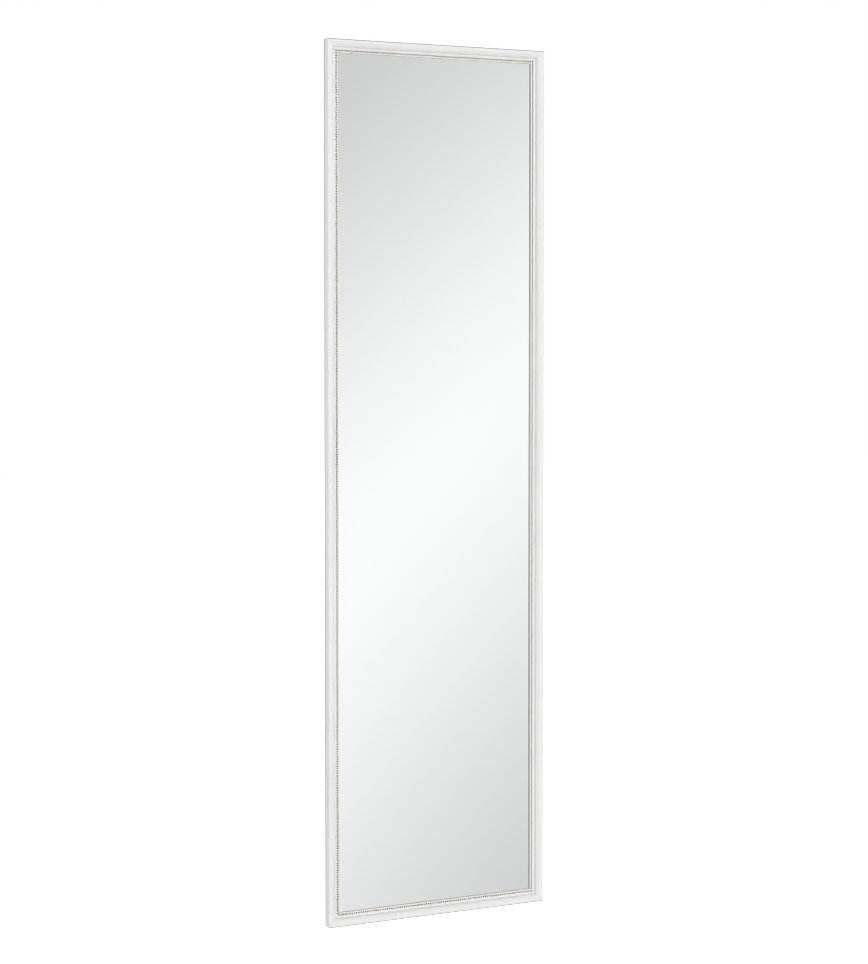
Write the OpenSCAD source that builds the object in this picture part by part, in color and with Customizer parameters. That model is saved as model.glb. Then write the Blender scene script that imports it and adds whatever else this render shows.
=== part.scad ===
// A tall, slim mirror that hangs over a door. A white picture moulding with a row of small gilt
// pearls goes round the glass. A hardboard back is held in the rebate by steel points, the mitres
// are pinned by V-nails, and two bent steel straps on the back of the top rail hook over the door.
// Each strap slides in a guide and is clamped there, so the height of the mirror can be set.
// Two hinged rings on the stiles hang it on a wall instead.
//
// Millimetres, +Z up, the glass looks along -Y. The origin is the top front edge of the door,
// midway between the two straps, which are pushed right down, as in the photograph.

/* [Frame] */
// Overall width of the frame
frame_w = 340; // [300:1:460]
// Overall height of the frame
frame_h = 1240; // [1000:1:1500]
// Depth of the moulding, from its back to its crest
frame_d = 18; // [17:0.5:22]

/* [Moulding outline, from the outer edge inwards] */
// How far the back of the outer side is drawn in
back_inset = 1.5; // [0.5:0.1:2.5]
// Height of the drawn-in part of the outer side
back_taper = 4; // [2:0.5:8]
// Radius of the outer front edge
edge_r = 1.5; // [0.5:0.1:2]
// Width of the flat crest, edge included
crest_w = 3.7; // [3:0.1:4.5]
// Width of the broad slope inside the crest
slope_w = 6; // [5:0.1:7]
// Drop of the broad slope
slope_drop = 3.9; // [2:0.1:4]
// How far the broad slope bulges out
slope_bulge = 0.6; // [0.1:0.05:0.6]
// Width of the steep step inside the slope
step_w = 1.6; // [1:0.1:2.4]
// Height of the steep step
step_drop = 4.1; // [3.5:0.1:4.6]
// Width of the flat groove at the foot of the step
groove_w = 0.7; // [0.5:0.1:1.5]
// Radius of the round fillet outside the pearls
fillet_r = 0.9; // [0.6:0.1:1.2]
// Depth of the pearls' channel below the groove
channel_drop = 0.2; // [0:0.1:0.5]
// Width of the inner lip
lip_w = 1.4; // [1:0.1:2.4]
// Height of the inner lip above the pearls' channel
lip_rise = 1.4; // [1:0.1:2]

/* [Pearls] */
// Diameter of a pearl
pearl_d = 2.9; // [2:0.1:3.2]
// Distance between pearls, as near as a whole number of them allows
pearl_pitch = 3.42; // [3.3:0.01:6]
// Diameter of the string that the pearls sit on
pearl_core_d = 1; // [0.6:0.1:1.8]
// Width left between the pearls and each wall of their channel
pearl_gap = 0.05; // [0.02:0.01:0.2]

/* [Glass and back] */
// Depth of the rebate for the glass, from the back of the frame
rebate_d = 8; // [7.5:0.1:8.4]
// Width of the frame's back, from the outer edge to the rebate
rebate_u = 13.3; // [12.5:0.1:14.5]
// Space round the glass in the rebate
glass_gap = 0.7; // [0.3:0.1:1.2]
// Thickness of the glass
glass_t = 3; // [2:0.5:4]
// Thickness of the hardboard back
board_t = 2.5; // [2:0.5:3]
// Size of the polished edge on the glass
glass_arris = 0.4; // [0.2:0.1:0.8]

/* [Points and V-nails] */
// Width of a retaining point
point_w = 8; // [6:0.5:12]
// Length of a retaining point that lies on the board
point_out = 9; // [6:0.5:12]
// Length of a retaining point that is driven into the moulding
point_in = 5; // [3:0.5:6]
// Thickness of a retaining point
point_t = 0.6; // [0.4:0.1:1]
// Retaining points on each stile
points_side = 5; // [4:1:8]
// Retaining points on each rail
points_end = 2; // [2:1:3]
// Distance of the V-nail from the outer edges
nail_u = 7; // [6:0.5:8]
// Length of each leg of a V-nail
nail_leg = 6; // [4:0.5:8]
// Depth of a V-nail
nail_d = 8; // [5:0.5:10]
// Thickness of a V-nail
nail_t = 0.6; // [0.4:0.1:1]
// Depth of a V-nail below the back of the frame
nail_sink = 0.3; // [0.1:0.1:0.6]
// Space round a driven point or nail
drive_gap = 0.03; // [0.01:0.01:0.1]

/* [Door hooks] */
// Thickness of the door that the hooks go over
door_t = 45; // [35:1:50]
// Distance from the frame's back to the door's face
standoff = 8; // [7.5:0.5:14]
// Distance between the middles of the two straps
hook_spacing = 190; // [140:1:220]
// Width of a strap
strap_w = 25; // [18:1:30]
// Thickness of a strap
strap_t = 2; // [1.5:0.1:2.5]
// Inner radius of a strap's bends
bend_r = 3; // [2:0.5:4]
// Length of the strap's end behind the door
lip_len = 38; // [25:1:60]
// Corner radius of the strap's end
strap_corner_r = 6; // [3:0.5:8]
// How far a strap can be drawn up
hook_travel = 120; // [60:1:200]
// Height of the turned-out foot that stops a strap
foot_h = 2; // [1.5:0.1:3]
// Thickness of the foam on a hook
pad_t = 1.5; // [1:0.1:3]
// Distance from the foam to the sides of the strap
pad_margin = 1.5; // [0.5:0.1:3]

/* [Strap guides] */
// Thickness of a guide's sheet steel
guide_t = 1.6; // [1.2:0.1:1.8]
// Height of a guide
guide_h = 9; // [8:0.5:9.5]
// Distance from the top of the frame to a guide
guide_drop = 4.2; // [3.8:0.1:4.4]
// Length of each flange of a guide
flange_w = 11; // [9:0.5:14]
// Space between a strap and its guide, on each face
slide_gap = 0.2; // [0.1:0.05:0.4]
// Radius of a guide screw's shank
guide_screw_r = 1.5; // [1.2:0.1:1.75]
// Length of a guide screw below its head
guide_screw_len = 10; // [6:0.5:10.5]
// Radius of a guide screw's head
guide_head_r = 3; // [2.4:0.1:3.5]
// Height of a guide screw's head
guide_head_h = 1.8; // [1.2:0.1:2.2]

/* [Clamp screws] */
// Radius of a clamp screw's thread
clamp_r = 2; // [1.5:0.1:2.5]
// Radial clearance of a clamp screw in its guide
clamp_clearance = 0.05; // [0.02:0.01:0.1]
// Radius of a clamp screw's knurled head
clamp_head_r = 6; // [5:0.5:7]
// Height of a clamp screw's head
clamp_head_h = 2.6; // [2:0.1:3]
// Space between a clamp screw's head and the guide
clamp_lift = 0.4; // [0.3:0.1:0.8]
// Grooves round a clamp screw's head
clamp_flutes = 24; // [12:1:36]
// Width of the coin slot in a clamp screw's head
clamp_slot_w = 1.4; // [0.8:0.1:2]

/* [Wall rings] */
// Distance from the top of the frame to a ring's hinge
ring_drop = 200; // [150:1:300]
// Distance of a ring's middle from the outer edge
ring_u = 9.3; // [9:0.1:9.6]
// Thickness of a ring's wire
wire_d = 2; // [1.6:0.1:2.4]
// Width inside a ring
ring_in_w = 9; // [8:0.5:9.5]
// Straight length of a ring's sides
ring_side = 12; // [11.5:0.5:18]
// Thickness of a ring's plate
plate_t = 0.8; // [0.6:0.1:1]
// Width of a ring's plate
plate_w = 7; // [6:0.5:7.5]
// Distance from a ring's hinge to its screw
plate_screw = 6.5; // [6:0.1:7]
// Length of the knuckle round a ring's wire
knuckle_w = 6; // [4:0.5:7]
// Radial clearance of a ring's wire in its knuckle
wire_clearance = 0.06; // [0.02:0.01:0.1]
// Radius of a ring screw's shank
ring_screw_r = 1.4; // [1.1:0.1:1.6]
// Length of a ring screw below its head
ring_screw_len = 8; // [6:0.5:9]
// Radius of a ring screw's head
ring_head_r = 2.6; // [2.2:0.1:2.9]
// Height of a ring screw's head
ring_head_h = 1.5; // [1:0.1:1.8]

/* [Bumpers] */
// Radius of a rubber bumper
bumper_r = 5; // [3:0.5:5.5]
// Distance from the side of the frame to a lower bumper's middle
bumper_side = 30; // [20:1:45]
// Space between a guide and the upper bumper beside it
bumper_clear = 14.7; // [3:0.1:20]
// Distance from the top or the bottom of the frame to a bumper's middle
bumper_end = 7.5; // [7:0.1:8]
// Radius of a bumper's rounded rim
bumper_round = 1.2; // [0.5:0.1:2]

/* [Hidden] */
$fn = 48;
cut = 1;                                     // how far a cutting shape goes past what it cuts

// Heights and depths. In the frame's own place x = 0 is its middle, y = 0 its back and z = 0 its foot.
frame_top = strap_t + pad_t;                 // above the door's top edge, when the strap is down
half_w = frame_w / 2;

// The moulding's outline: distances from the outer edge, and heights above the back.
step_u = crest_w + slope_w;
groove_u = step_u + step_w;
fillet_u = groove_u + groove_w;
channel_u = fillet_u + 2 * fillet_r;
channel_w = pearl_d + 2 * pearl_gap;
lip_u = channel_u + channel_w;
sight_u = lip_u + lip_w;
pearl_u = channel_u + channel_w / 2;
corner_clear = (pearl_d / 2 + pearl_gap) * sqrt(2);
step_h = frame_d - slope_drop;
groove_h = step_h - step_drop;
channel_h = groove_h - channel_drop;
lip_h = channel_h + lip_rise;

glass_u = rebate_u + glass_gap;
board_h = rebate_d - glass_t;                // height of the board's front face above the back
point_h = board_h - board_t;                 // height of the board's rear face above the back

// The strap and its guide, as distances behind the frame's back.
strap_y = slide_gap;
guide_in = strap_t + 2 * slide_gap;
guide_top = frame_h - guide_drop;
guide_half_in = strap_w / 2 + slide_gap;
guide_half_out = guide_half_in + guide_t;
flange_screw = guide_half_out + flange_w / 2;
foot_out = guide_in + guide_t;
lip_y = standoff + door_t + pad_t;           // front face of the strap's end behind the door
strap_top = frame_h;                         // the strap's bridge is level with the frame's top
leg_foot = guide_top - guide_h - slide_gap - hook_travel - foot_h;
hook_x = hook_spacing / 2;

// The wall ring.
ring_x = half_w - ring_u;
ring_z = frame_h - ring_drop;
knuckle_r = wire_d / 2 + wire_clearance + plate_t;
ring_y = knuckle_r;
ring_half = ring_in_w / 2 + wire_d / 2;

// ---- where things go ----------------------------------------------------------------------

// From the frame's own place to the door's edge.
module hung() {
    translate([0, -standoff, frame_top - frame_h]) children();
}

// A shape drawn for the left side, as it is or mirrored to the right.
module on_side(side) {
    mirror([side > 0 ? 1 : 0, 0, 0]) children();
}

// A shape whose x counts inwards from the frame's edge, whose z runs along that edge.
module on_stile(side) {
    on_side(side) translate([-half_w, 0, frame_h / 2]) children();
}

module on_rail(top) {
    translate([0, 0, top ? frame_h : 0]) mirror([0, 0, top ? 1 : 0]) rotate([0, -90, 0]) children();
}

// A shape that stands up from z = 0, turned to stand out of the frame's back.
module out_of_back() {
    rotate([-90, 0, 0]) children();
}

// ---- the moulding --------------------------------------------------------------------------

// The slightly bulging face of the broad slope, as the part of a circle above its chord. It reaches
// a little below the chord, into the solid moulding.
module slope_bulge_shape() {
    chord = norm([slope_w, slope_drop]);
    normal = [slope_drop, slope_w] / chord;
    r = (chord * chord / 4 + slope_bulge * slope_bulge) / (2 * slope_bulge);
    start = [crest_w, frame_d];
    end = [step_u, step_h];
    root = -slope_bulge * normal;
    tip = 2 * slope_bulge * normal;
    intersection() {
        translate((start + end) / 2 - normal * (r - slope_bulge)) circle(r = r, $fn = 96);
        polygon([start + root, end + root, end + tip, start + tip]);
    }
}

// The cross-section without its round parts: x is the distance from the outer edge, y the height
// above the back.
module moulding_outline() {
    polygon([
        [back_inset, 0],
        [0, back_taper],
        [0, frame_d - edge_r],
        [edge_r, frame_d - edge_r],
        [edge_r, frame_d],
        [crest_w, frame_d],
        [step_u, step_h],
        [groove_u, groove_h],
        [channel_u, groove_h],
        [channel_u, channel_h],
        [lip_u, channel_h],
        [lip_u, lip_h - lip_w / 2],
        [sight_u, lip_h - lip_w / 2],
        [sight_u, rebate_d],
        [rebate_u, rebate_d],
        [rebate_u, 0],
    ]);
}

module moulding(length) {
    rounds = [
        [edge_r, frame_d - edge_r, edge_r],
        [fillet_u + fillet_r, groove_h, fillet_r],
        [lip_u + lip_w / 2, lip_h - lip_w / 2, lip_w / 2],
    ];
    linear_extrude(length) moulding_outline();
    linear_extrude(length) slope_bulge_shape();
    for (round = rounds) translate([round[0], round[1], 0]) cylinder(r = round[2], h = length);
}

// What a mitre takes off both ends of a stick of the given length.
module mitre_waste(length) {
    reach = sight_u + cut;
    for (end = [0, 1])
        mirror([0, 0, end])
            translate([0, cut, 0]) rotate([90, 0, 0]) linear_extrude(frame_d + 2 * cut)
                polygon([[-cut, length / 2 + cut], [reach, length / 2 - reach], [reach, length / 2 + cut]]);
}

module stick(length) {
    difference() {
        translate([0, 0, -length / 2]) mirror([0, 1, 0]) moulding(length);
        mitre_waste(length);
    }
}

module stile(side) {
    difference() {
        on_stile(side) stick(frame_h);
        points_on_stile(side, drive_gap);
        corner_nail_set(drive_gap, nail_sink + cut);
        ring_screw_shank(side, drive_gap);
    }
}

module rail(top) {
    difference() {
        on_rail(top) stick(frame_w);
        points_on_rail(top, drive_gap);
        corner_nail_set(drive_gap, nail_sink + cut);
        if (top) for (side = [-1, 1]) guide_screw_shanks(side, drive_gap);
    }
}

module left_stile() {
    color("#ecebe8") hung() stile(-1);
}

module right_stile() {
    color("#ecebe8") hung() stile(1);
}

module top_rail() {
    color("#ecebe8") hung() rail(true);
}

module bottom_rail() {
    color("#ecebe8") hung() rail(false);
}

// ---- the pearls ----------------------------------------------------------------------------

// A half-round string of pearls that lies along z, its flat back on the channel's floor. Its first
// and last pearls stand at the given distances from the two corners where the channels meet.
module pearl_string(length, first, last) {
    start = first + pearl_u - length / 2;
    run = length - 2 * pearl_u - first - last;
    spaces = round(run / pearl_pitch);
    translate([pearl_u, -channel_h, 0]) rotate([0, 0, 180]) rotate_extrude(angle = 180) intersection() {
        union() {
            for (i = [0 : spaces]) translate([0, start + i * run / spaces]) circle(pearl_d / 2);
            translate([0, start]) square([pearl_core_d / 2, run]);
        }
        translate([0, -length / 2]) square([pearl_d, length]);
    }
}

// As in the photograph, both upper corners and the lower right one hold a pearl, which belongs to
// the rail. At the lower left corner both strings stop clear of the mitre.
module left_pearls() {
    color("#c9ab78") hung() on_stile(-1) pearl_string(frame_h, corner_clear, pearl_pitch);
}

module right_pearls() {
    color("#c9ab78") hung() on_stile(1) pearl_string(frame_h, pearl_pitch, pearl_pitch);
}

module top_pearls() {
    color("#c9ab78") hung() on_rail(true) pearl_string(frame_w, 0, 0);
}

module bottom_pearls() {
    color("#c9ab78") hung() on_rail(false) pearl_string(frame_w, 0, corner_clear);
}

// ---- glass, back and what holds them --------------------------------------------------------

// An upright sheet in the rebate, its front face at the given height above the frame's back.
module sheet(front, thickness) {
    translate([-half_w + glass_u, -front, glass_u])
        cube([frame_w - 2 * glass_u, thickness, frame_h - 2 * glass_u]);
}

// A long three-sided cut along each of the glass's four front edges.
module arris_cuts() {
    for (spec = [[frame_h, frame_w, 0], [frame_w, frame_h, 90]])
        translate([0, -rebate_d, frame_h / 2]) rotate([0, spec[2], 0]) for (side = [0, 1])
            mirror([side, 0, 0]) translate([spec[1] / 2 - glass_u, 0, -spec[0] / 2])
                linear_extrude(spec[0]) rotate(45) square(glass_arris * sqrt(2), center = true);
}

module mirror_glass() {
    color("#c9d4d6") hung() difference() {
        sheet(rebate_d, glass_t);
        arris_cuts();
    }
}

module backing_board() {
    color("#8a6a48") hung() sheet(board_h, board_t);
}

// A retaining point lies on the board and goes into the rebate's wall; x counts inwards.
module point_shape(gap) {
    translate([rebate_u - point_in - gap, -point_h, -point_w / 2 - gap])
        cube([point_in + point_out + gap, point_t + gap, point_w + 2 * gap]);
}

module points_on_stile(side, gap) {
    pitch = frame_h / points_side;
    on_stile(side) for (i = [0 : points_side - 1])
        translate([0, 0, (i + 0.5) * pitch - frame_h / 2]) point_shape(gap);
}

module points_on_rail(top, gap) {
    pitch = frame_w / points_end;
    on_rail(top) for (i = [0 : points_end - 1])
        translate([0, 0, (i + 0.5) * pitch - frame_w / 2]) point_shape(gap);
}

module retaining_points() {
    color("#9aa0a4") hung() {
        for (side = [-1, 1]) points_on_stile(side, 0);
        for (top = [false, true]) points_on_rail(top, 0);
    }
}

// A V-nail stands across each mitre, one leg in the stile and one in the rail. The slot that it is
// driven into has a mouth in the frame's back.
module corner_nail(gap, mouth) {
    translate([nail_u, mouth - nail_sink, nail_u]) rotate([90, 0, 0])
        linear_extrude(nail_d + mouth + gap) for (leg = [[nail_leg, nail_t], [nail_t, nail_leg]])
            translate([-nail_t / 2 - gap, -nail_t / 2 - gap]) square(leg + [2 * gap, 2 * gap]);
}

module corner_nail_set(gap = 0, mouth = 0) {
    for (side = [-1, 1]) for (top = [0, 1])
        on_side(side) translate([-half_w, 0, top * frame_h]) mirror([0, 0, top]) corner_nail(gap, mouth);
}

module corner_nails() {
    color("#8d9296") hung() corner_nail_set();
}

// ---- strap guides ---------------------------------------------------------------------------

// A hat-shaped strip of sheet steel, screwed to the top rail's back by its two flanges.
module guide(side) {
    half_hat = [
        [guide_half_in, guide_in],
        [guide_half_in, 0],
        [guide_half_out + flange_w, 0],
        [guide_half_out + flange_w, guide_t],
        [guide_half_out, guide_t],
        [guide_half_out, foot_out],
    ];
    other_half = [for (i = [len(half_hat) - 1 : -1 : 0]) [-half_hat[i][0], half_hat[i][1]]];
    on_side(side) translate([-hook_x, 0, guide_top - guide_h]) difference() {
        linear_extrude(guide_h) polygon(concat(half_hat, other_half));
        for (half = [-1, 1]) translate([half * flange_screw, -cut, guide_h / 2])
            out_of_back() cylinder(r = guide_screw_r + drive_gap, h = guide_t + 2 * cut);
        translate([0, 0, guide_h / 2])
            out_of_back() cylinder(r = clamp_r + clamp_clearance, h = foot_out + cut);
    }
}

module left_guide() {
    color("#b4b8ba") hung() guide(-1);
}

module right_guide() {
    color("#b4b8ba") hung() guide(1);
}

module guide_screw_shanks(side, gap) {
    on_side(side) for (half = [-1, 1])
        translate([-hook_x + half * flange_screw, guide_t - guide_screw_len - gap, guide_top - guide_h / 2])
            out_of_back() cylinder(r = guide_screw_r + gap, h = guide_screw_len + gap);
}

// A round head with a domed top and a cross recess, standing up from z = 0.
module screw_head(r, h) {
    dome_r = (r * r + h * h) / (2 * h);
    recess_w = r / 4;
    difference() {
        intersection() {
            cylinder(r = r, h = h);
            translate([0, 0, h - dome_r]) sphere(dome_r);
        }
        translate([0, 0, h]) for (turn = [0, 90]) rotate(turn)
            cube([r, recess_w, h], center = true);
    }
}

module guide_screws() {
    color("#c4c7c9") hung() for (side = [-1, 1]) {
        guide_screw_shanks(side, 0);
        on_side(side) for (half = [-1, 1])
            translate([-hook_x + half * flange_screw, guide_t, guide_top - guide_h / 2])
                out_of_back() screw_head(guide_head_r, guide_head_h);
    }
}

// ---- door hooks -------------------------------------------------------------------------------

// A quarter of a bend, from the strap's outer face to its inner face, in the corner at the origin.
module bend_quarter() {
    intersection() {
        difference() {
            circle(bend_r + strap_t);
            circle(bend_r);
        }
        square(bend_r + strap_t);
    }
}

// The strap seen from its side: x counts backwards from the frame's back, y is the height.
module strap_side() {
    outer_r = bend_r + strap_t;
    lip_foot = strap_top - strap_t - lip_len;
    translate([strap_y, leg_foot]) square([strap_t, strap_top - outer_r - leg_foot]);
    translate([strap_y, leg_foot]) square([foot_out - strap_y, foot_h]);
    translate([strap_y + outer_r, strap_top - outer_r]) mirror([1, 0]) bend_quarter();
    translate([strap_y + outer_r, strap_top - strap_t])
        square([lip_y + strap_t - 2 * outer_r - strap_y, strap_t]);
    translate([lip_y + strap_t - outer_r, strap_top - outer_r]) bend_quarter();
    translate([lip_y, lip_foot]) square([strap_t, strap_top - outer_r - lip_foot]);
}

// What rounds off the two lower corners of a strap's end; the end lies at z = 0.
module end_corners() {
    for (half = [0, 1]) mirror([half, 0, 0]) difference() {
        translate([strap_w / 2 - strap_corner_r, 0, -cut])
            cube([strap_corner_r + cut, strap_t + 2 * cut, strap_corner_r + cut]);
        translate([strap_w / 2 - strap_corner_r, -cut, strap_corner_r])
            out_of_back() cylinder(r = strap_corner_r, h = strap_t + 4 * cut);
    }
}

module hook(side) {
    on_side(side) translate([-hook_x, 0, 0]) difference() {
        translate([-strap_w / 2, 0, 0]) rotate([90, 0, 90]) linear_extrude(strap_w) strap_side();
        translate([0, lip_y - cut, strap_top - strap_t - lip_len]) end_corners();
    }
}

module left_hook() {
    color("#f0f0ee") hung() hook(-1);
}

module right_hook() {
    color("#f0f0ee") hung() hook(1);
}

// Foam under the strap's bridge and on the face of its end, where the door goes.
module hook_pads(side) {
    pad_w = strap_w - 2 * pad_margin;
    pad_y = standoff + pad_margin;
    bridge_pad_len = lip_y - bend_r - pad_y;
    lip_pad_top = strap_top - strap_t - bend_r;
    lip_pad_len = lip_len - bend_r - strap_corner_r;
    on_side(side) translate([-hook_x - pad_w / 2, 0, 0]) {
        translate([0, pad_y, strap_top - strap_t - pad_t]) cube([pad_w, bridge_pad_len, pad_t]);
        translate([0, lip_y - pad_t, lip_pad_top - lip_pad_len]) cube([pad_w, pad_t, lip_pad_len]);
    }
}

module left_hook_pads() {
    color("#e4e4e0") hung() hook_pads(-1);
}

module right_hook_pads() {
    color("#e4e4e0") hung() hook_pads(1);
}

// ---- clamp screws -----------------------------------------------------------------------------

// A low knurled screw whose tip bears on the strap, with a coin slot in its head.
module clamp_screw(side) {
    tip = strap_y + strap_t + clamp_clearance;
    head = foot_out + clamp_lift;
    flute_r = PI * clamp_head_r / clamp_flutes / 2;
    on_side(side) translate([-hook_x, 0, guide_top - guide_h / 2]) out_of_back() {
        translate([0, 0, tip]) cylinder(r = clamp_r, h = head - tip + cut);
        translate([0, 0, head]) difference() {
            cylinder(r = clamp_head_r, h = clamp_head_h);
            for (i = [0 : clamp_flutes - 1]) rotate(i * 360 / clamp_flutes)
                translate([clamp_head_r, 0, -cut])
                    cylinder(r = flute_r, h = clamp_head_h + 2 * cut, $fn = 16);
            translate([0, 0, clamp_head_h])
                cube([3 * clamp_head_r, clamp_slot_w, clamp_head_h], center = true);
        }
    }
}

module left_clamp_screw() {
    color("#c9ccce") hung() clamp_screw(-1);
}

module right_clamp_screw() {
    color("#c9ccce") hung() clamp_screw(1);
}

// ---- wall rings -------------------------------------------------------------------------------

// Puts a shape at the middle of a ring's hinge, on the back of a stile.
module at_ring(side) {
    on_side(side) translate([-ring_x, 0, ring_z]) children();
}

// A strip of thin steel, folded round the ring's wire and held to the stile by one screw.
module ring_plate(side) {
    at_ring(side) difference() {
        union() {
            translate([-plate_w / 2, 0, -plate_screw]) cube([plate_w, plate_t, plate_screw - knuckle_r]);
            translate([-knuckle_w / 2, 0, -plate_screw]) cube([knuckle_w, plate_t, plate_screw]);
            translate([0, 0, -plate_screw]) out_of_back() cylinder(r = plate_w / 2, h = plate_t);
            translate([-knuckle_w / 2, ring_y, 0])
                rotate([0, 90, 0]) cylinder(r = knuckle_r, h = knuckle_w);
        }
        translate([-knuckle_w / 2 - cut, ring_y, 0])
            rotate([0, 90, 0]) cylinder(r = wire_d / 2 + wire_clearance, h = knuckle_w + 2 * cut);
        translate([0, -cut, -plate_screw])
            out_of_back() cylinder(r = ring_screw_r + drive_gap, h = plate_t + 2 * cut);
    }
}

module left_ring_plate() {
    color("#c0b48a") hung() ring_plate(-1);
}

module right_ring_plate() {
    color("#c0b48a") hung() ring_plate(1);
}

// A wire ring with a straight hinge bar and a round foot, hanging down.
module ring(side) {
    wire_r = wire_d / 2;
    at_ring(side) translate([0, ring_y, 0]) {
        translate([-ring_half, 0, 0]) rotate([0, 90, 0]) cylinder(r = wire_r, h = 2 * ring_half);
        for (half = [-1, 1]) translate([half * ring_half, 0, 0]) {
            sphere(wire_r);
            translate([0, 0, -ring_side]) cylinder(r = wire_r, h = ring_side);
        }
        translate([0, 0, -ring_side]) rotate([-90, 0, 0])
            rotate_extrude(angle = 180) translate([ring_half, 0]) circle(wire_r);
    }
}

module left_ring() {
    color("#c9bd94") hung() ring(-1);
}

module right_ring() {
    color("#c9bd94") hung() ring(1);
}

module ring_screw_shank(side, gap) {
    at_ring(side) translate([0, plate_t - ring_screw_len - gap, -plate_screw])
        out_of_back() cylinder(r = ring_screw_r + gap, h = ring_screw_len + gap);
}

module ring_screws() {
    color("#c4c7c9") hung() for (side = [-1, 1]) {
        ring_screw_shank(side, 0);
        at_ring(side) translate([0, plate_t, -plate_screw])
            out_of_back() screw_head(ring_head_r, ring_head_h);
    }
}

// ---- bumpers ----------------------------------------------------------------------------------

// Four stick-on rubber buttons keep the frame clear of the door.
module bumper() {
    rotate_extrude() {
        square([bumper_r, standoff - bumper_round]);
        square([bumper_r - bumper_round, standoff]);
        intersection() {
            translate([bumper_r - bumper_round, standoff - bumper_round]) circle(bumper_round);
            translate([0, standoff - bumper_round]) square([bumper_r, bumper_round]);
        }
    }
}

module rear_bumpers() {
    lower_x = half_w - bumper_side;
    upper_x = hook_x + guide_half_out + flange_w + bumper_clear + bumper_r;
    color("#dcdcd8") hung() for (side = [-1, 1]) {
        translate([side * lower_x, 0, bumper_end]) out_of_back() bumper();
        translate([side * upper_x, 0, frame_h - bumper_end]) out_of_back() bumper();
    }
}

left_stile();
right_stile();
top_rail();
bottom_rail();
left_pearls();
right_pearls();
top_pearls();
bottom_pearls();
mirror_glass();
backing_board();
retaining_points();
corner_nails();
left_guide();
right_guide();
guide_screws();
left_hook();
right_hook();
left_hook_pads();
right_hook_pads();
left_clamp_screw();
right_clamp_screw();
left_ring_plate();
right_ring_plate();
left_ring();
right_ring();
ring_screws();
rear_bumpers();
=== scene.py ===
"""The looks of a tall over the door mirror: a white picture moulding, gilt-crowned pearls round
the glass, two bent hooks behind its top rail and two hinged rings on its stiles. Metres, +Z up,
front along -Y; the origin is the top front edge of the door that it hangs on."""
import math

import bmesh
import bpy
from mathutils import Matrix, Vector


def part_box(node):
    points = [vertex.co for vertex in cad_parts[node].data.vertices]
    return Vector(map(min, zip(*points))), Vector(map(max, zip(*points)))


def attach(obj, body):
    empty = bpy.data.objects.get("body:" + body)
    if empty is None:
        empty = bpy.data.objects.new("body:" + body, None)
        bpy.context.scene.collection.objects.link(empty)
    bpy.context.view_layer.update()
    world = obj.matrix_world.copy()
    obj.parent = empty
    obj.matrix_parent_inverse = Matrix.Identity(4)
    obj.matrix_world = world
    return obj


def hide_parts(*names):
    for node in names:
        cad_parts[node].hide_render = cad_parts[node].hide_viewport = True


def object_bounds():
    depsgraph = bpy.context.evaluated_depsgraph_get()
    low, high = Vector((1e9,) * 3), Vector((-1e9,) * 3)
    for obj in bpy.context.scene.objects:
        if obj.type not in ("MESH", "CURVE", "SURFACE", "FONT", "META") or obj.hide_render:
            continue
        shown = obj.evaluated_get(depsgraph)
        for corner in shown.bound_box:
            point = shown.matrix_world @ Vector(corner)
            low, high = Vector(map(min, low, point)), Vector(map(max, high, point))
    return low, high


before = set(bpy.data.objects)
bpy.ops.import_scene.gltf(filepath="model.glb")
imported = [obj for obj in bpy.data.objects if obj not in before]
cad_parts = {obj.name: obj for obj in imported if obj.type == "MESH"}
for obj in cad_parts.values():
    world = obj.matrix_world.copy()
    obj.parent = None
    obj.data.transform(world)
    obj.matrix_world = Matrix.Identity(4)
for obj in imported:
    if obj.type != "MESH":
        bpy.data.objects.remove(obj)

cad_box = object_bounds()
scene = bpy.context.scene
scene.view_settings.view_transform = "Standard"
# The photograph is a little sharper than the usual pixel filter leaves a render.
scene.cycles.filter_width = 1.0

# ---- Camera ------------------------------------------------------------------------------------
# The photograph was taken from the left, at the height of the mirror's upper third. Its uprights
# are almost parallel, so the view is turned down a little and shifted down the rest of the way.
PHOTO_HEIGHT = 964
camera_place = Vector((-1.3775, -2.8491, -0.3942))
camera_turn = math.radians(-25.887)
camera_dip = math.radians(2.163)
view_shift = -72

camera_data = bpy.data.cameras.new("camera")
camera_data.sensor_width = 36
camera_data.lens = 82.6
camera_data.shift_y = view_shift / PHOTO_HEIGHT
camera_data.clip_start = 0.1
camera_data.clip_end = 100
camera = bpy.data.objects.new("camera", camera_data)
camera.location = camera_place
camera.rotation_euler = (math.radians(90) - camera_dip, 0, camera_turn)
scene.collection.objects.link(camera)
scene.camera = camera

# ---- Studio ------------------------------------------------------------------------------------
# A white room with soft boxes in front, behind, on both sides and overhead. What the glass mirrors
# is a pale wall with one broad diagonal band of light across it. Polished pieces also mirror the
# darker side of the room, where the camera stands. The floor is at the foot of a two metre door.


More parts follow.
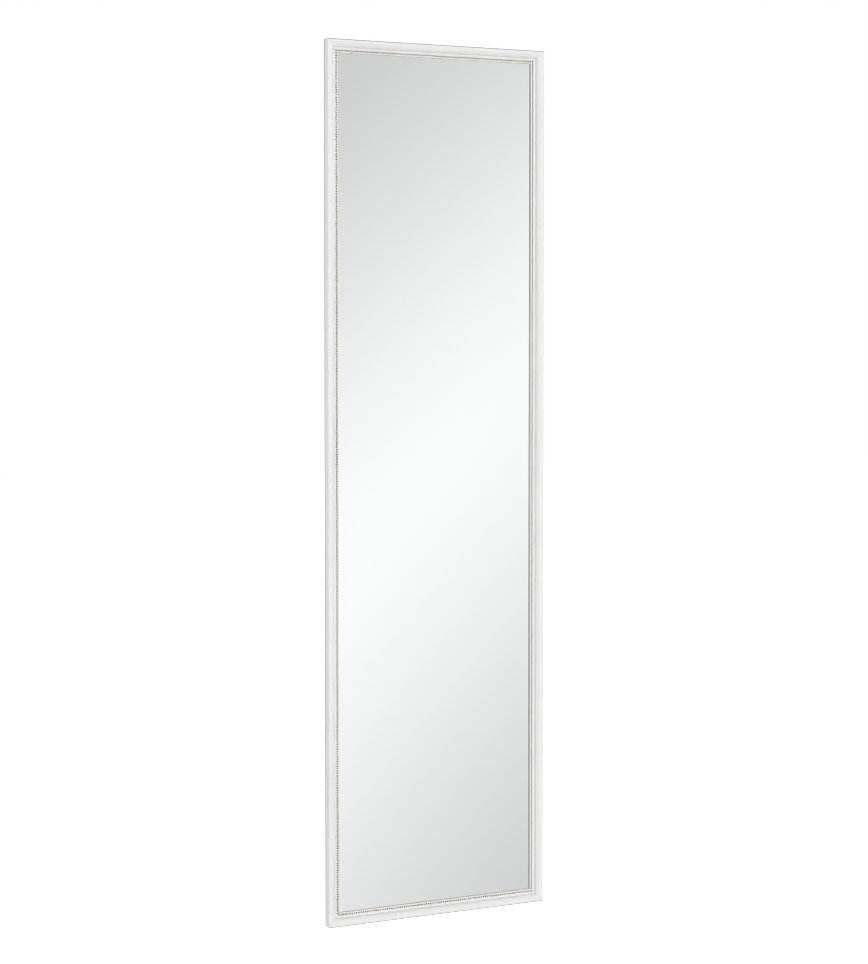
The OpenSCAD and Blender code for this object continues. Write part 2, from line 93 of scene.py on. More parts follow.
class Wiring:
    """Adds shader nodes to a tree and joins them up."""

    def __init__(self, tree):
        self.nodes = tree.nodes
        self.links = tree.links

    def put(self, socket, value):
        """Joins a socket to another node's output, or gives it a number or a colour."""
        if isinstance(value, bpy.types.NodeSocket):
            self.links.new(value, socket)
        elif isinstance(value, (int, float)):
            socket.default_value = value
        else:
            room = len(socket.default_value)
            socket.default_value = (*value, 1.0)[:room]

    def add(self, kind, choices=None, **sockets):
        node = self.nodes.new("ShaderNode" + kind)
        for name, choice in (choices or {}).items():
            setattr(node, name, choice)
        for name, value in sockets.items():
            self.put(node.inputs[name.replace("_", " ")], value)
        return node

    def sum(self, operation, *values):
        """One step of arithmetic, on numbers or on other nodes' outputs."""
        node = self.add("Math", {"operation": operation})
        for socket, value in zip(node.inputs, values):
            self.put(socket, value)
        return node.outputs[0]

    def ease(self, value, start, end, low=0.0, high=1.0):
        """Goes smoothly from low to high as the value goes from start to end."""
        node = self.add("MapRange", {"interpolation_type": "SMOOTHSTEP"}, Value=value)
        node.inputs["From Min"].default_value = start
        node.inputs["From Max"].default_value = end
        node.inputs["To Min"].default_value = low
        node.inputs["To Max"].default_value = high
        return node.outputs["Result"]

    def mix(self, share, one, other):
        """A colour between two, by a share from 0 to 1."""
        node = self.add("Mix", {"data_type": "RGBA"})
        self.put(node.inputs[0], share)
        self.put(node.inputs[6], one)
        self.put(node.inputs[7], other)
        return node.outputs[2]

    def between(self, share, one, other):
        """A number between two, by a share from 0 to 1."""
        node = self.add("Mix")
        self.put(node.inputs[0], share)
        self.put(node.inputs[2], one)
        self.put(node.inputs[3], other)
        return node.outputs[0]


mirror_middle = (cad_box[0] + cad_box[1]) / 2


def soft_box(name, towards, distance, width, height, level):
    """A lamp that lights a white card at the mirror to the given level. The glass doesn't show it."""
    lamp = bpy.data.lights.new(name, "AREA")
    lamp.shape = "RECTANGLE"
    lamp.size = width
    lamp.size_y = height
    lamp.energy = level * (math.pi * distance) ** 2
    holder = bpy.data.objects.new(name, lamp)
    away = Vector(towards).normalized()
    holder.location = mirror_middle + away * distance
    holder.rotation_euler = away.to_track_quat("Z", "Y").to_euler()
    holder.visible_camera = False
    holder.visible_glossy = False
    scene.collection.objects.link(holder)


front_way = (0.02, -1, -0.03)
side_way = (-0.93, 0.36, 0.1)
other_side_way = (0.93, 0.36, 0.1)
soft_box("front_box", front_way, distance=3.4, width=1.0, height=2.2, level=0.72)
soft_box("side_box", side_way, distance=3.2, width=1.2, height=1.8, level=0.46)
soft_box("rear_box", (0.4, 0.85, 0.3), distance=3.0, width=1.6, height=1.8, level=0.5)
soft_box("left_box", (-0.96, -0.28, 0), distance=3.0, width=0.8, height=1.8, level=0.16)
soft_box("overhead_box", (0, -0.35, 1), distance=2.4, width=1.6, height=1.2, level=0.26)
soft_box("right_box", other_side_way, distance=3.2, width=1.2, height=1.8, level=0.34)

# The band's two sides, fitted to the shades along the photographed glass: each fades over its width
# to about three fifths of the band's own level.
band_level = 1.034
band_middle = 0.43
band_reach = 0.2
upper_side = {"lean": 0.952, "start": -0.108, "end": 0.202, "fade": 0.407}
lower_side = {"lean": 1.223, "start": 0.034, "end": 0.366, "fade": 0.421}
upper_shade = band_level * (1 - upper_side["fade"])
lower_shade = 1 - lower_side["fade"]

studio = bpy.data.worlds.new("studio")
studio.use_nodes = True
scene.world = studio
room = Wiring(studio.node_tree)
way = room.add("TexCoord").outputs["Generated"]
across, _, upward = room.add("SeparateXYZ", Vector=way).outputs
sideways = room.sum("DIVIDE", room.sum("SUBTRACT", across, band_middle), band_reach)
sideways = room.sum("MULTIPLY", room.sum("SINE", sideways), band_reach)
above = room.sum("SUBTRACT", upward, room.sum("MULTIPLY", sideways, upper_side["lean"]))
below = room.sum("SUBTRACT", room.sum("MULTIPLY", sideways, lower_side["lean"]), upward)
wall = room.sum(
    "MULTIPLY",
    room.ease(above, upper_side["start"], upper_side["end"], band_level, upper_shade),
    room.ease(below, lower_side["start"], lower_side["end"], 1, lower_shade),
)


def glow(towards, inner, outer, level):
    """A soft round patch of light in the room, as wide as the angles given in degrees."""
    aim = room.add("VectorMath", {"operation": "DOT_PRODUCT"})
    room.put(aim.inputs[0], way)
    aim.inputs[1].default_value = Vector(towards).normalized()
    rim, core = math.cos(math.radians(outer)), math.cos(math.radians(inner))
    return room.ease(aim.outputs["Value"], rim, core, 0, level)


window_way = (0.87, -0.5, 0.04)
dark_way = (-0.88, -0.48, 0)
ceiling_way = (0, 0.35, 1)
dark_side = room.sum("SUBTRACT", 1, glow(dark_way, inner=50, outer=80, level=0.42))
mirrored = room.sum("MULTIPLY", wall, dark_side)
steepness = room.sum("ABSOLUTE", upward)
dimmed = room.ease(steepness, start=0.4, end=0.9, low=1, high=0.75)
mirrored = room.sum("MULTIPLY", mirrored, dimmed)
mirrored = room.sum("ADD", mirrored, glow(window_way, inner=8, outer=22, level=1.7))
mirrored = room.sum("ADD", mirrored, glow(side_way, inner=8, outer=22, level=0.8))
mirrored = room.sum("ADD", mirrored, glow(ceiling_way, inner=12, outer=40, level=0.7))
fill = room.ease(steepness, start=0.2, end=0.95, low=0.14, high=0.1)
ray = room.add("LightPath").outputs
polished = room.sum("MAXIMUM", ray["Is Glossy Ray"], ray["Is Transmission Ray"])
level = room.between(polished, fill, mirrored)
level = room.between(ray["Is Camera Ray"], level, 1)
room.put(room.nodes["Background"].inputs["Strength"], level)
room.put(room.nodes["Background"].inputs["Color"], (1, 1, 1))

floor_height = -2.0
floor_side = 40
floor_shape = bmesh.new()
bmesh.ops.create_grid(floor_shape, x_segments=8, y_segments=8, size=floor_side / 2)
bmesh.ops.translate(floor_shape, vec=(0, 0, floor_height), verts=floor_shape.verts)
floor_mesh = bpy.data.meshes.new("floor")
floor_shape.to_mesh(floor_mesh)
floor_shape.free()
floor = bpy.data.objects.new("floor", floor_mesh)
scene.collection.objects.link(floor)

floor_finish = bpy.data.materials.new("floor_card")
floor_finish.use_nodes = True
card = Wiring(floor_finish.node_tree)
card.nodes.remove(card.nodes["Principled BSDF"])
floor_place = card.add("TexCoord").outputs["Object"]
speckle = card.add("TexNoise", Vector=floor_place, Scale=40.0, Detail=3.0)
shade = card.mix(speckle.outputs["Fac"], (0.53, 0.53, 0.525), (0.56, 0.56, 0.555))
floor_ray = card.add("LightPath").outputs
lit = card.add("BsdfDiffuse", Color=shade)
along, aside, _ = card.add("SeparateXYZ", Vector=floor_place).outputs
squares = [card.sum("MULTIPLY", length, length) for length in (along, aside)]
reach = card.sum("SQRT", card.sum("ADD", *squares))
paleness = card.ease(reach, start=0.8, end=4.5, low=0.76, high=1.05)
white_share = card.sum("MULTIPLY", floor_ray["Is Camera Ray"], paleness)
pale = card.add("Emission", Color=(1, 1, 1), Strength=white_share)
shown = card.add("AddShader")
card.put(shown.inputs[0], lit.outputs[0])
card.put(shown.inputs[1], pale.outputs[0])
unseen = card.add("BsdfTransparent")
in_mirror = card.sum("MAXIMUM", floor_ray["Is Glossy Ray"], floor_ray["Is Transmission Ray"])
either = card.add("MixShader", Fac=in_mirror)
card.put(either.inputs[1], shown.outputs[0])
card.put(either.inputs[2], unseen.outputs[0])
card.put(card.nodes["Material Output"].inputs["Surface"], either.outputs[0])
floor_mesh.materials.append(floor_finish)

# ---- White moulding ----------------------------------------------------------------------------
# Four sticks of extruded polystyrene picture moulding with a foil-smooth satin white skin, cut at
# 45 degrees and pinned. The skin has faint lines along it. Painted shade darkens the rails' outer
# edges, and a grey band of painted shade covers the rear of the sides above the drawn-in back,
# which is bare, slightly porous grey foam.


class Finish(Wiring):
    """A material whose pattern is laid out in the piece's own place, in metres."""

    def __init__(self, name, colour, roughness, metallic=0.0, **sockets):
        self.material = bpy.data.materials.new(name)
        self.material.use_nodes = True
        super().__init__(self.material.node_tree)
        self.shader = self.nodes["Principled BSDF"]
        self.place = self.add("TexCoord").outputs["Object"]
        self.x, self.y, self.z = self.add("SeparateXYZ", Vector=self.place).outputs
        self.relief = None
        self.set(Base_Color=colour, Roughness=roughness, Metallic=metallic, **sockets)

    def set(self, **sockets):
        for name, value in sockets.items():
            self.put(self.shader.inputs[name.replace("_", " ")], value)

    def cloud(self, size, detail=2.0, stretch=(1, 1, 1), roughness=0.5):
        """Soft patches of about the given size, drawn out along an axis by stretch."""
        spread = self.add("Mapping", Vector=self.place)
        spread.inputs["Scale"].default_value = [1 / (size * s) for s in stretch]
        noise = self.add(
            "TexNoise", Vector=spread.outputs[0], Scale=1.0, Detail=detail, Roughness=roughness)
        return noise.outputs["Fac"]

    def cells(self, size):
        """Distances in a field of round cells of about the given size."""
        spread = self.add("Mapping", Vector=self.place)
        spread.inputs["Scale"].default_value = [1 / size] * 3
        return self.add("TexVoronoi", Vector=spread.outputs[0], Scale=1.0).outputs

    def emboss(self, height, depth):
        """Raises the surface by up to the given depth where the height is 1."""
        bump = self.add("Bump", Height=height, Distance=depth, Strength=1.0)
        if self.relief:
            self.put(bump.inputs["Normal"], self.relief)
        self.relief = bump.outputs["Normal"]
        self.put(self.shader.inputs["Normal"], self.relief)


stile_low, stile_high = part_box("left_stile")
frame_left = stile_low.x
frame_foot, frame_head = stile_low.z, stile_high.z
frame_back = stile_high.y
hairline = 0.00011
# Widths of painted shade: a grey line along the rails' outer edges and a grey band over the sides'
# rear.
edge_shade_width = 0.0018
rear_shade_start = frame_back - 0.0063
rear_shade_blur = 0.0003


def moulding_skin(name, lines, edge_shade_share=0.0):
    """The sticks' white skin, with the extruder's lines stretched along the stick."""
    skin = Finish(name, (0.845, 0.845, 0.843), roughness=0.33, Specular_IOR_Level=0.5)
    across_stick = skin.sum("SUBTRACT", -frame_left, skin.sum("ABSOLUTE", skin.x))
    from_middle = skin.sum("ABSOLUTE", skin.sum("SUBTRACT", skin.z, (frame_foot + frame_head) / 2))
    from_end = skin.sum("SUBTRACT", (frame_head - frame_foot) / 2, from_middle)
    off_mitre = skin.sum("ABSOLUTE", skin.sum("SUBTRACT", across_stick, from_end))
    joint = skin.ease(off_mitre, hairline, 2.5 * hairline, 1, 0)
    mottle = skin.ease(skin.cloud(0.06, detail=3), 0.3, 0.7)
    colour = skin.mix(mottle, (0.838, 0.838, 0.836), (0.856, 0.856, 0.854))
    colour = skin.mix(skin.sum("MULTIPLY", joint, 0.45), colour, (0.42, 0.4, 0.37))
    # Painted shade: the rails' outer edges are coloured grey, where they turn away from the light.
    painted_edge_shade = skin.ease(from_end, edge_shade_width / 2, edge_shade_width, edge_shade_share, 0)
    colour = skin.mix(painted_edge_shade, colour, (0.4, 0.4, 0.41))
    # The back face is bare grey foam. The same grey over the last 6.3 mm of the sides is painted shade
    # along the rear edge.
    ragged = skin.sum("ADD", skin.y, skin.sum("MULTIPLY", skin.cloud(0.002), 0.0004))
    bare_back_and_rear_shade = skin.ease(ragged, rear_shade_start - rear_shade_blur, rear_shade_start + rear_shade_blur)
    foam_and_rear_shade_grey = skin.mix(skin.cloud(0.004), (0.58, 0.58, 0.57), (0.66, 0.66, 0.65))
    colour = skin.mix(bare_back_and_rear_shade, colour, foam_and_rear_shade_grey)
    drawn = skin.cloud(0.0007, detail=2, stretch=lines)
    peel = skin.cloud(0.0016, detail=2)
    gloss = skin.ease(drawn, 0.25, 0.75, 0.34, 0.44)
    skin.set(Base_Color=colour, Roughness=skin.between(bare_back_and_rear_shade, gloss, 0.75))
    skin.emboss(drawn, 0.000007)
    skin.emboss(peel, 0.000008)
    pores = skin.ease(skin.cells(0.0009)["Distance"], 0.1, 0.5)
    skin.emboss(skin.sum("MULTIPLY", pores, bare_back_and_rear_shade), 0.00012)
    return skin


upright_skin = moulding_skin("white_skin_upright", lines=(1, 1, 260))
level_skin = moulding_skin("white_skin_level", lines=(260, 1, 1), edge_shade_share=0.85)
for node in ("left_stile", "right_stile"):
    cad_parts[node].material_slots[0].material = upright_skin.material
for node in ("top_rail", "bottom_rail"):
    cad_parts[node].material_slots[0].material = level_skin.material

# ---- Gilt pearls -------------------------------------------------------------------------------
# A string of half-round pearls lies in a channel of each stick. They are pressed plastic beads, a
# little flattened along the row, cream white with gilt rubbed on their crowns. A thin white string
# holds them apart.
pearl_pitch = 0.00342
string_radius = 0.0005
pearl_columns = 12
pearl_rings = 8
pearl_squash = 0.9
gilt_depth = 0.28
gilt_fade = 0.1

gilt = Finish("pearl_gilt", (0.38, 0.29, 0.18), roughness=0.15, metallic=1.0)
pearls_low, pearls_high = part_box("left_pearls")
pearl_height = pearls_high.y - pearls_low.y
gilt_edge = pearls_low.y + gilt_depth * pearl_height
crown = gilt.ease(gilt.y, gilt_edge, gilt_edge + gilt_fade * pearl_height, 1, 0)
worn = gilt.ease(gilt.cloud(0.0035, detail=2), 0.35, 0.65)
gilt_colour = gilt.mix(worn, (0.25, 0.18, 0.105), (0.34, 0.26, 0.16))
gilt.set(
    Base_Color=gilt.mix(crown, (0.95, 0.935, 0.885), gilt_colour),
    Metallic=crown,
    Roughness=gilt.between(crown, 0.3, gilt.ease(gilt.cloud(0.0012), 0.3, 0.7, 0.12, 0.2)))
gilt.emboss(gilt.cloud(0.0008), 0.000012)

string = Finish("white_string", (0.80, 0.77, 0.72), roughness=0.6)
twist = string.cells(0.0004)["Distance"]
string.set(Base_Color=string.mix(string.cloud(0.002), (0.89, 0.89, 0.87), (0.93, 0.93, 0.91)))
string.emboss(twist, 0.00005)


def finished(shape, name, *finishes):
    """Makes a named piece of a finished shape, whose place is in its mesh."""
    mesh = bpy.data.meshes.new(name)
    bmesh.ops.recalc_face_normals(shape, faces=shape.faces)
    shape.to_mesh(mesh)
    shape.free()
    for finish in finishes:
        mesh.materials.append(finish.material)
    piece = bpy.data.objects.new(name, mesh)
    scene.collection.objects.link(piece)
    return piece


def pearl_string(name, node, upright):
    """Half pearls in a row on their string, flat backs against the channel's floor."""
    low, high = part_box(node)
    long_way = Vector((0, 0, 1)) if upright else Vector((1, 0, 0))
    to_row = Matrix() if upright else Matrix.Rotation(math.radians(90), 4, "Y")
    radius = (high - low)[0 if upright else 2] / 2
    run = (high - low).dot(long_way) - 2 * radius
    spaces = round(run / pearl_pitch)
    middle = (low + high) / 2
    middle.y = high.y
    first = middle - long_way * run / 2

    shape = bmesh.new()
    bmesh.ops.create_uvsphere(
        shape, u_segments=pearl_columns, v_segments=pearl_rings, radius=radius, matrix=to_row)
    bmesh.ops.bisect_plane(
        shape, geom=shape.verts[:] + shape.edges[:] + shape.faces[:], dist=1e-7,
        plane_co=(0, 0, 0), plane_no=(0, 1, 0), clear_outer=True)
    rim = [edge for edge in shape.edges if edge.is_boundary]
    flat_back = bmesh.ops.contextual_create(shape, geom=rim)["faces"]
    for face in shape.faces:
        face.smooth = face not in flat_back
    bmesh.ops.scale(shape, vec=Vector((1, 1, 1)) - long_way * (1 - pearl_squash), verts=shape.verts)
    bmesh.ops.translate(shape, vec=first, verts=shape.verts)
    bmesh.ops.spin(
        shape, geom=shape.verts[:] + shape.edges[:] + shape.faces[:], cent=(0, 0, 0), axis=(0, 1, 0),
        dvec=long_way * run / spaces, angle=0, steps=spaces, use_duplicate=True)
    pearls = set(shape.faces)
    bmesh.ops.create_cone(
        shape, segments=8, radius1=string_radius, radius2=string_radius, depth=run, cap_ends=True,
        matrix=Matrix.Translation(middle) @ to_row)
    for face in shape.faces:
        if face not in pearls:
            face.material_index = 1
            face.smooth = len(face.verts) == 4
    return finished(shape, name, gilt, string)


for name, node, upright in (
    ("left_pearl_string", "left_pearls", True),
    ("right_pearl_string", "right_pearls", True),
    ("top_pearl_string", "top_pearls", False),
    ("bottom_pearl_string", "bottom_pearls", False),
):
    pearls = pearl_string(name, node, upright)
    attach(pearls, "mirror")
    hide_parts(node)

# ---- Mirror glass ------------------------------------------------------------------------------
# One sheet of silvered float glass in the rebate. Its ground edges are sea green, and its back has
# the grey paint that protects the silver.
glass_low, glass_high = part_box("mirror_glass")
silver = Finish("silvered_glass", (0.948, 0.965, 0.957), roughness=0.012, metallic=1.0)
face = silver.ease(silver.y, glass_low.y + 0.00008, glass_low.y + 0.00012, 1, 0)
back = silver.ease(silver.y, glass_high.y - 0.0002, glass_high.y - 0.0001)
edge_green = silver.mix(silver.cloud(0.01), (0.22, 0.36, 0.30), (0.33, 0.47, 0.40))
back_paint = silver.mix(silver.cloud(0.03, detail=4), (0.27, 0.29, 0.30), (0.34, 0.36, 0.37))
behind = silver.mix(back, edge_green, back_paint)
silver.set(
    Base_Color=silver.mix(face, behind, (0.948, 0.965, 0.957)),
    Metallic=face,
    Roughness=silver.between(face, 0.45, silver.ease(silver.cloud(0.2), 0.3, 0.7, 0.01, 0.014)))
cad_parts["mirror_glass"].material_slots[0].material = silver.material

# ---- Hardboard back ----------------------------------------------------------------------------
# A sheet of brown hardboard over the glass. Its rear face is the rough side, with the print of the
# wire screen that the wet fibres were pressed on.
screen_pitch = 0.0016
hardboard = Finish("hardboard", (0.28, 0.17, 0.09), roughness=0.75)
fibres = hardboard.cloud(0.0011, detail=5, stretch=(1, 1, 3), roughness=0.65)
patches = hardboard.cloud(0.05, detail=3)
brown = hardboard.mix(hardboard.ease(fibres, 0.3, 0.7), (0.21, 0.125, 0.065), (0.37, 0.235, 0.13))
brown = hardboard.mix(hardboard.ease(patches, 0.3, 0.7, 0, 0.35), brown, (0.42, 0.28, 0.17))
wires = [
    hardboard.sum("SINE", hardboard.sum("MULTIPLY", way_across, 2 * math.pi / screen_pitch))
    for way_across in (hardboard.x, hardboard.z)
]
weave = hardboard.sum("MULTIPLY", *wires)
brown = hardboard.mix(hardboard.ease(weave, 0.2, 0.9, 0, 0.3), brown, (0.14, 0.08, 0.04))
hardboard.set(Base_Color=brown, Roughness=hardboard.ease(fibres, 0.3, 0.7, 0.62, 0.85))
hardboard.emboss(weave, 0.00008)
hardboard.emboss(fibres, 0.00012)
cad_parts["backing_board"].material_slots[0].material = hardboard.material

# ---- Retaining points and V-nails --------------------------------------------------------------
# Blued steel points are fired into the rebate's wall and bent flat on the board. A steel V-nail
# pins each mitre, pressed in from behind.
point_low, point_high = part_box("retaining_points")
point_width = 0.008
point_length = 0.014
point_thickness = 0.0006
points_side = 5
points_end = 2

spring_steel = Finish("spring_steel", (0.42, 0.44, 0.47), roughness=0.36, metallic=1.0)
rolled = spring_steel.cloud(0.0004, detail=2, stretch=(1, 1, 14))
blued = spring_steel.ease(spring_steel.cloud(0.006), 0.3, 0.7)
spring_steel.set(
    Base_Color=spring_steel.mix(blued, (0.36, 0.38, 0.43), (0.52, 0.52, 0.51)),
    Roughness=spring_steel.ease(rolled, 0.25, 0.75, 0.28, 0.45))
spring_steel.emboss(rolled, 0.00001)


def add_point(shape, turn, root):
    """One point with a rounded free end; its length runs inwards from the root."""
    made = bmesh.ops.create_cube(shape, size=1)["verts"]
    bmesh.ops.scale(shape, vec=(point_length, point_thickness, point_width), verts=made)
    bmesh.ops.translate(shape, vec=(point_length / 2, 0, 0), verts=made)
    upright_edges = [
        edge for edge in {e for v in made for e in v.link_edges}
        if all(abs(v.co.x - point_length) < 1e-6 for v in edge.verts)
        and abs(edge.verts[0].co.y - edge.verts[1].co.y) > point_thickness / 2
    ]
    rounded = bmesh.ops.bevel(
        shape, geom=upright_edges, offset=point_width * 0.3, segments=5, profile=0.5,
        affect="EDGES", material=-1)
    made = list({v for v in made if v.is_valid} | set(rounded["verts"]))
    rims = [
        edge for edge in {e for v in made for e in v.link_edges}
        if abs(edge.verts[0].co.y - edge.verts[1].co.y) < 1e-6
        and edge.calc_face_angle(0) > math.radians(60)
    ]
    rounded = bmesh.ops.bevel(
        shape, geom=rims, offset=point_thickness * 0.25, segments=2, profile=0.5,
        affect="EDGES", material=-1)
    made = list({v for v in made if v.is_valid} | set(rounded["verts"]))
    bmesh.ops.transform(shape, matrix=Matrix.Translation(root) @ turn, verts=made)


points_shape = bmesh.new()
frame_height = frame_head - frame_foot
frame_width = -2 * frame_left
point_depth = (point_low.y + point_high.y) / 2
stile_pitch = frame_height / points_side
rail_pitch = frame_width / points_end
for place in range(points_side):
    height = frame_foot + (place + 0.5) * stile_pitch
    for wall_x, turn in ((point_low.x, 0), (point_high.x, math.pi)):
        root = Vector((wall_x, point_depth, height))
        add_point(points_shape, Matrix.Rotation(turn, 4, "Y"), root)
for place in range(points_end):
    along_rail = frame_left + (place + 0.5) * rail_pitch
    for wall_z, turn in ((point_low.z, -math.pi / 2), (point_high.z, math.pi / 2)):
        root = Vector((along_rail, point_depth, wall_z))
        add_point(points_shape, Matrix.Rotation(turn, 4, "Y"), root)
points = finished(points_shape, "steel_points", spring_steel)
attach(points, "mirror")
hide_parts("retaining_points")
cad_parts["corner_nails"].material_slots[0].material = spring_steel.material

# ---- Guides and screws -------------------------------------------------------------------------
# Two hat-shaped guides of zinc-plated sheet hold the straps. Each has two cross-head screws in its
# flanges and a knurled clamp screw in its middle. Tumbling has eased the edges of this hardware.
zinc = Finish("zinc_plate", (0.60, 0.62, 0.64), roughness=0.34, metallic=1.0)
spangle = zinc.cells(0.0032)
zinc_tone = zinc.ease(zinc.cloud(0.004, detail=3), 0.3, 0.7)
zinc_colour = zinc.mix(zinc_tone, (0.52, 0.54, 0.56), (0.68, 0.70, 0.72))
zinc_colour = zinc.mix(zinc.sum("MULTIPLY", spangle["Distance"], 0.25), zinc_colour, (0.45, 0.47, 0.5))
zinc_grain = zinc.cloud(0.0003, detail=2, stretch=(20, 1, 1))
zinc.set(Base_Color=zinc_colour, Roughness=zinc.ease(zinc_grain, 0.25, 0.75, 0.27, 0.42))
zinc.emboss(zinc_grain, 0.000012)
sharp_angle = math.radians(35)


def eased_copy(node, name, body, finish, ease):
    """A copy of a hardware piece whose sharp edges are eased, as tumbling leaves them."""
    shape = bmesh.new()
    shape.from_mesh(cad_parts[node].data)
    bmesh.ops.remove_doubles(shape, verts=shape.verts, dist=1e-6)
    bmesh.ops.dissolve_limit(
        shape, angle_limit=math.radians(0.5), verts=shape.verts, edges=shape.edges)
    sharp = [
        edge for edge in shape.edges
        if edge.is_manifold and edge.calc_face_angle(0) > sharp_angle
    ]
    bmesh.ops.bevel(
        shape, geom=sharp, offset=ease, segments=2, profile=0.5, affect="EDGES", material=-1,
        clamp_overlap=True)
    for turned_face in shape.faces:
        turned_face.smooth = True
        turned_face.material_index = 0
    piece = finished(shape, name, finish)
    even = piece.modifiers.new("flat_faces", "WEIGHTED_NORMAL")
    even.weight = 80
    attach(piece, body)
    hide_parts(node)


for side in ("left", "right"):
    eased_copy(side + "_guide", side + "_strap_guide", "mirror", zinc, ease=0.00025)

screw_steel = Finish("screw_steel", (0.66, 0.67, 0.66), roughness=0.28, metallic=1.0)
turned = screw_steel.cloud(0.0005, detail=3)
screw_tone = screw_steel.mix(screw_steel.cloud(0.003), (0.58, 0.59, 0.58), (0.73, 0.73, 0.71))
screw_steel.set(Base_Color=screw_tone, Roughness=screw_steel.ease(turned, 0.3, 0.7, 0.2, 0.36))
screw_steel.emboss(turned, 0.000015)
eased_copy("guide_screws", "guide_wood_screws", "mirror", screw_steel, ease=0.00012)
eased_copy("ring_screws", "ring_wood_screws", "mirror", screw_steel, ease=0.00012)
for side in ("left", "right"):
    eased_copy(
        side + "_clamp_screw", side + "_clamp_knob", side + "_clamp", screw_steel,
        ease=0.00012)

# ---- Door hooks --------------------------------------------------------------------------------
# Each hook is one steel strap, bent over the door's top and down behind it, with a rounded end and
# a turned-out foot that stops it in its guide. It is powder coated white.
strap_thickness = 0.002
bend_middle_radius = 0.004
foot_bend_radius = 0.0011
strap_end_radius = 0.006
foot_trim = 0.0002

enamel = Finish("white_enamel", (0.83, 0.83, 0.815), roughness=0.3)
orange_peel = enamel.cloud(0.0012, detail=2)
scuffs = enamel.ease(enamel.cloud(0.0006, detail=3, stretch=(1, 1, 40)), 0.68, 0.74)
leg_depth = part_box("left_hook")[0].y
on_leg = enamel.ease(enamel.y, leg_depth + 0.0021, leg_depth + 0.0027, 1, 0)
scuffs = enamel.sum("MULTIPLY", scuffs, on_leg)
enamel_colour = enamel.mix(enamel.cloud(0.02), (0.81, 0.81, 0.795), (0.85, 0.85, 0.84))
enamel.set(
    Base_Color=enamel.mix(enamel.sum("MULTIPLY", scuffs, 0.4), enamel_colour, (0.45, 0.45, 0.44)),
    Roughness=enamel.ease(orange_peel, 0.3, 0.7, 0.25, 0.36))
enamel.emboss(orange_peel, 0.000007)


def bent_strap(name, node):
    """A strap swept from its foot up the leg, over the door and down behind it."""
    low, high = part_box(node)
    half_thick = strap_thickness / 2
    shape = bmesh.new()
    foot_y = low.y + 2 * strap_thickness - foot_trim
    edge_verts = [shape.verts.new((x, foot_y, low.z + half_thick)) for x in (low.x, high.x)]
    sweep = [shape.edges.new(edge_verts)]

    def straight(to):
        nonlocal sweep
        made = bmesh.ops.extrude_edge_only(shape, edges=sweep)["geom"]
        verts = [item for item in made if isinstance(item, bmesh.types.BMVert)]
        sweep = [
            item for item in made
            if isinstance(item, bmesh.types.BMEdge) and set(item.verts) == set(verts)
        ]
        for vert in verts:
            vert.co.y, vert.co.z = to

    def bend(centre, degrees, steps):
        nonlocal sweep
        made = bmesh.ops.spin(
            shape, geom=sweep, cent=(0, *centre), axis=(1, 0, 0), angle=math.radians(degrees),
            steps=steps)
        sweep = [item for item in made["geom_last"] if isinstance(item, bmesh.types.BMEdge)]

    leg_y = low.y + half_thick
    lip_y = high.y - half_thick
    bridge_z = high.z - half_thick
    rise = bend_middle_radius
    straight((leg_y + foot_bend_radius, low.z + half_thick))
    bend((leg_y + foot_bend_radius, low.z + half_thick + foot_bend_radius), -90, 4)
    straight((leg_y, bridge_z - rise))
    bend((leg_y + rise, bridge_z - rise), -90, 8)
    straight((lip_y - rise, bridge_z))
    bend((lip_y - rise, bridge_z - rise), -90, 8)
    strap_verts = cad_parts[node].data.vertices
    lip_foot = min(vert.co.z for vert in strap_verts if vert.co.y > high.y - 0.0001)
    straight((lip_y, lip_foot))
    end_corners = list(sweep[0].verts)
    bmesh.ops.bevel(
        shape, geom=end_corners, offset=strap_end_radius, segments=8, profile=0.5,
        affect="VERTICES", material=-1)
    for swept in shape.faces:
        swept.smooth = True
    strap = finished(shape, name, enamel)
    thick = strap.modifiers.new("thickness", "SOLIDIFY")
    thick.thickness = strap_thickness
    thick.offset = 0
    thick.use_even_offset = True
    soft = strap.modifiers.new("soft_edges", "BEVEL")
    soft.width = 0.0004
    soft.segments = 3
    soft.limit_method = "ANGLE"
    soft.angle_limit = math.radians(50)
    return strap


for side in ("left", "right"):
    hook = bent_strap(side + "_door_hook", side + "_hook")
    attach(hook, side + "_hook")
    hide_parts(side + "_hook")

# ---- Foam pads ---------------------------------------------------------------------------------
# Two strips of closed-cell foam are stuck in each hook, under the bridge and on the end behind the
# door, so that the steel doesn't mark it.
foam = Finish("grey_foam", (0.72, 0.72, 0.70), roughness=0.9)
cell_walls = foam.cells(0.0005)["Distance"]
foam_colour = foam.mix(foam.ease(cell_walls, 0.1, 0.6), (0.62, 0.62, 0.6), (0.77, 0.77, 0.75))
foam.set(Base_Color=foam_colour, Sheen_Weight=0.2)
foam.emboss(cell_walls, 0.00012)
pad_thickness = 0.0015
lip_pad_top = -0.0015


def add_pad(shape, low, high):
    """A strip of foam with its edges rounded by the die that cut it."""
    made = bmesh.ops.create_cube(shape, size=1)["verts"]
    bmesh.ops.scale(shape, vec=high - low, verts=made)
    bmesh.ops.translate(shape, vec=(low + high) / 2, verts=made)
    edges = list({edge for vert in made for edge in vert.link_edges})
    bmesh.ops.bevel(
        shape, geom=edges, offset=0.00045, segments=4, profile=0.5, affect="EDGES", material=-1)


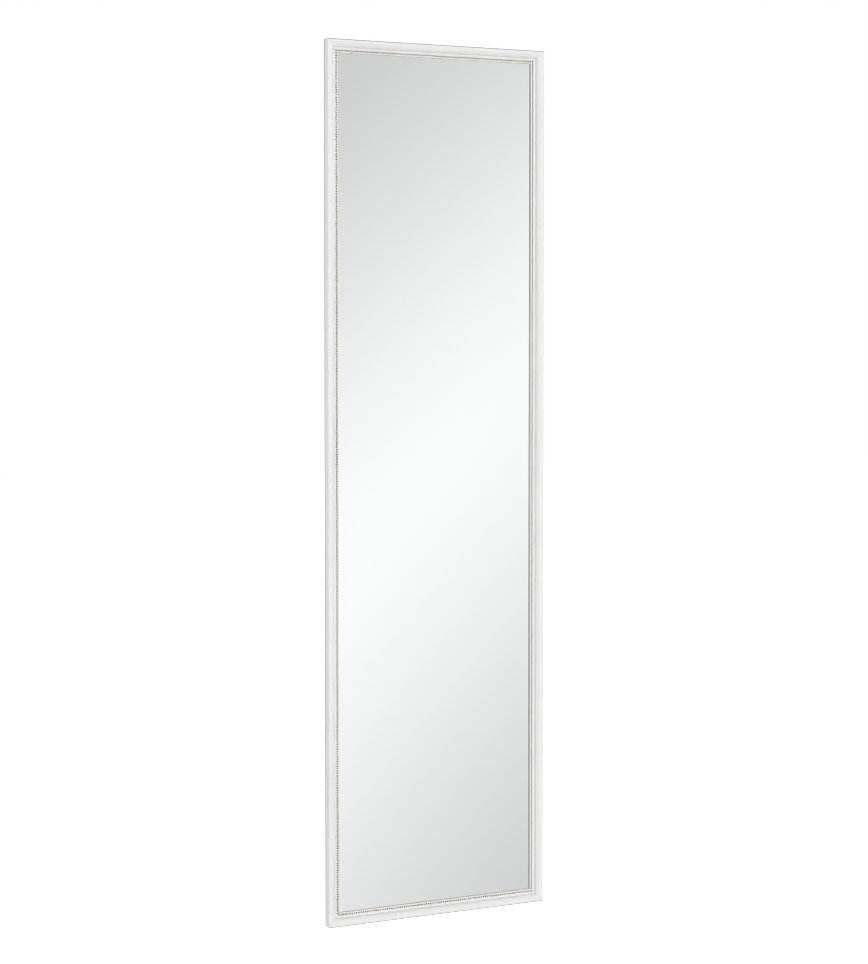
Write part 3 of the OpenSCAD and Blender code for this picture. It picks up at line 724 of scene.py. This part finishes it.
for side in ("left", "right"):
    low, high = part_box(side + "_hook_pads")
    pads_shape = bmesh.new()
    pad_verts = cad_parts[side + "_hook_pads"].data.vertices
    bridge_end = max(vert.co.y for vert in pad_verts if vert.co.z > lip_pad_top + 0.001)
    bridge_corner = Vector((low.x, low.y, high.z - pad_thickness))
    lip_corner = Vector((low.x, high.y - pad_thickness, low.z))
    add_pad(pads_shape, bridge_corner, Vector((high.x, bridge_end, high.z)))
    add_pad(pads_shape, lip_corner, Vector((high.x, high.y, lip_pad_top)))
    for pad_face in pads_shape.faces:
        pad_face.smooth = True
    pads = finished(pads_shape, side + "_hook_foam", foam)
    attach(pads, side + "_hook")
    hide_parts(side + "_hook_pads")

# ---- Wall rings --------------------------------------------------------------------------------
# A wire ring hangs in the folded knuckle of a small plate on each stile, for hanging the mirror on
# a wall. Plate and ring are brassed steel.
brass = Finish("brassed_steel", (0.70, 0.56, 0.30), roughness=0.3, metallic=1.0)
brass_tone = brass.mix(brass.cloud(0.003, detail=3), (0.60, 0.47, 0.24), (0.78, 0.64, 0.37))
brass_grain = brass.cloud(0.0005, detail=2)
brass.set(Base_Color=brass_tone, Roughness=brass.ease(brass_grain, 0.3, 0.7, 0.22, 0.4))
brass.emboss(brass_grain, 0.000012)
for side in ("left", "right"):
    eased_copy(
        side + "_ring_plate", side + "_hanger_plate", "mirror", brass, ease=0.0002)
    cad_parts[side + "_ring"].material_slots[0].material = brass.material

# ---- Bumpers -----------------------------------------------------------------------------------
# Four stick-on buttons of clear grey rubber keep the frame off the door.
rubber = Finish("bumper_rubber", (0.62, 0.62, 0.59), roughness=0.4, Subsurface_Weight=0.15)
bloom = rubber.cloud(0.004, detail=3)
rubber.set(
    Base_Color=rubber.mix(bloom, (0.55, 0.55, 0.52), (0.70, 0.70, 0.67)),
    Roughness=rubber.ease(bloom, 0.3, 0.7, 0.33, 0.52))
rubber.emboss(rubber.cloud(0.0007), 0.00002)
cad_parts["rear_bumpers"].material_slots[0].material = rubber.material
